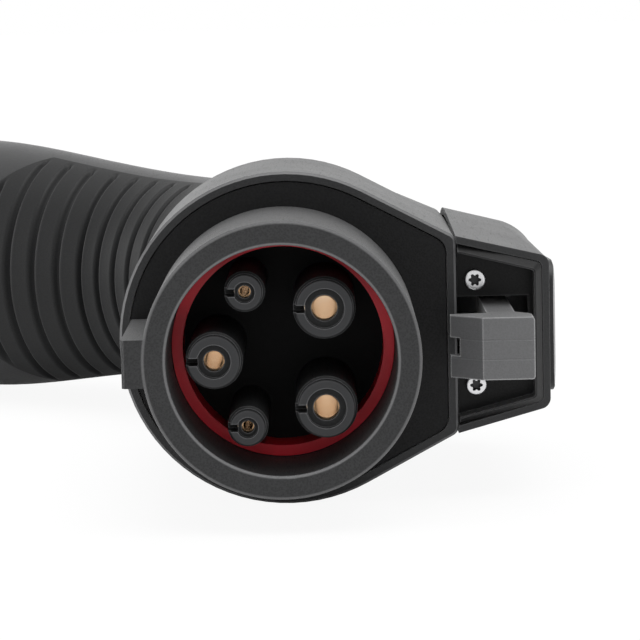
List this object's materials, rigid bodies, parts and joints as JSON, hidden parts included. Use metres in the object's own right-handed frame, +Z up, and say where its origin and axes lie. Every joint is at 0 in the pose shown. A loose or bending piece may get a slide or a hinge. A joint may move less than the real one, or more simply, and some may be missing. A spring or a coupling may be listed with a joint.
{
  "type": "ev charging connector",
  "caption": "Vehicle charging connector with a round keyed nose, socket contacts behind a red seal, a rocking latch with thumb button, and a bent ribbed handle ending in a cable gland.",
  "frame": {"origin": "centre of the nose's rim, where the connector enters the vehicle", "axes": "+Y runs back into the connector along the mating axis (it mates towards -Y), +X is the latch side, +Z is up as the connector lies on its side"},
  "size_m": [0.1607, 0.205, 0.0552],
  "materials": {
    "nose_plastic": "leather grained moulding",
    "seal_rubber": "satin red",
    "carrier_plastic": "smooth satin",
    "screw_steel": "zinc plated",
    "shell_plastic": "fine grained moulding",
    "grip_rubber": "soft matt",
    "gland_plastic": "smooth",
    "gland_rubber": "matt",
    "tray_plastic": "smooth satin",
    "lever_plastic": "grey grained moulding",
    "pin_steel": "ground",
    "spring_steel": "drawn wire",
    "button_plastic": "fine grained moulding",
    "board_laminate": "solder mask",
    "switch_plastic": "smooth",
    "plunger_plastic": "natural nylon",
    "resistor_coat": "lacquer",
    "contact_brass": "plated"
  },
  "bodies": {
    "connector": {"nose_shell": "nose_plastic", "seal_ring": "seal_rubber", "contact_carrier": "carrier_plastic", "contact_retainer": "carrier_plastic", "retainer_screws": "screw_steel", "shell_right": "shell_plastic", "shell_left": "shell_plastic", "shell_screws": "screw_steel", "grip_pad": "grip_rubber", "gland_body": "gland_plastic", "gland_seal": "gland_rubber", "gland_nut": "gland_plastic", "latch_hood": "shell_plastic", "hood_screws": "screw_steel", "latch_tray": "tray_plastic", "tray_screws": "screw_steel", "latch_pivot_pin": "pin_steel", "latch_spring": "spring_steel", "switch_board": "board_laminate", "switch_body": "switch_plastic", "board_resistors": "resistor_coat", "contact_l1": "contact_brass", "tower_l1": "carrier_plastic", "contact_n": "contact_brass", "tower_n": "carrier_plastic", "contact_pe": "contact_brass", "tower_pe": "carrier_plastic", "contact_cp": "contact_brass", "tower_cp": "carrier_plastic", "contact_pp": "contact_brass", "tower_pp": "carrier_plastic"},
    "latch": {"latch_lever": "lever_plastic", "thumb_button": "button_plastic"},
    "plunger": {"switch_plunger": "plunger_plastic"}
  },
  "joints": [
    {"name": "latch_pivot", "type": "hinge", "parent": "connector", "child": "latch", "pos_m": [0.034, 0.05, 0], "axis": [0, 0, 1], "range_deg": [0, 7], "stiffness_Nm_per_rad": 0.4, "springref_deg": -11.46, "deforming": ["latch_spring"]},
    {"name": "plunger_slide", "type": "slide", "parent": "connector", "child": "plunger", "axis": [-1, 0, 0], "range_m": [0, 0.0011]}
  ],
  "couplings": [
    {"joint": "plunger_slide", "follows": "latch_pivot", "m_per_rad": 0.0088}
  ]
}
